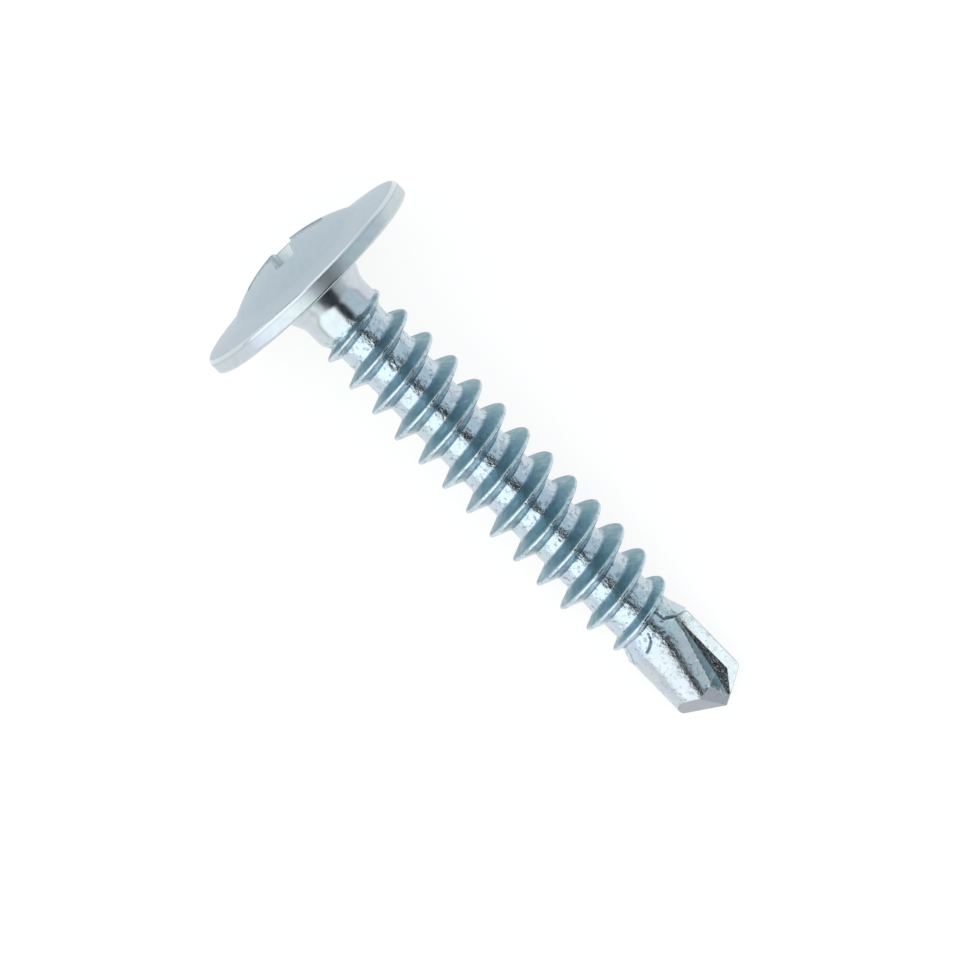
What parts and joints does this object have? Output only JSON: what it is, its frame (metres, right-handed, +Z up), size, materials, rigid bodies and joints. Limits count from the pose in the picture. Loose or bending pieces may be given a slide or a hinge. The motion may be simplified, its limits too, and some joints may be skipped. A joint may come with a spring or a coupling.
{
  "type": "self drilling screw",
  "caption": "Cross-recess screw with a low domed head on a thin round flange, a coarse right-hand thread and a fluted drill point.",
  "frame": {"origin": "on the floor, at the middle of the lying screw's bounding box", "axes": "+X runs from the head towards the drill point, +Z up; the screw lies on its head's rim and its drill point, so its axis drops towards the point"},
  "size_m": [0.0262, 0.0104, 0.0104],
  "materials": {
    "zinc_plate": "bright zinc plate with a pale blue passivate, satin on the head and brighter on the thread flanks"
  },
  "bodies": {
    "root": {"self_drilling_screw": "zinc_plate"}
  },
  "joints": []
}
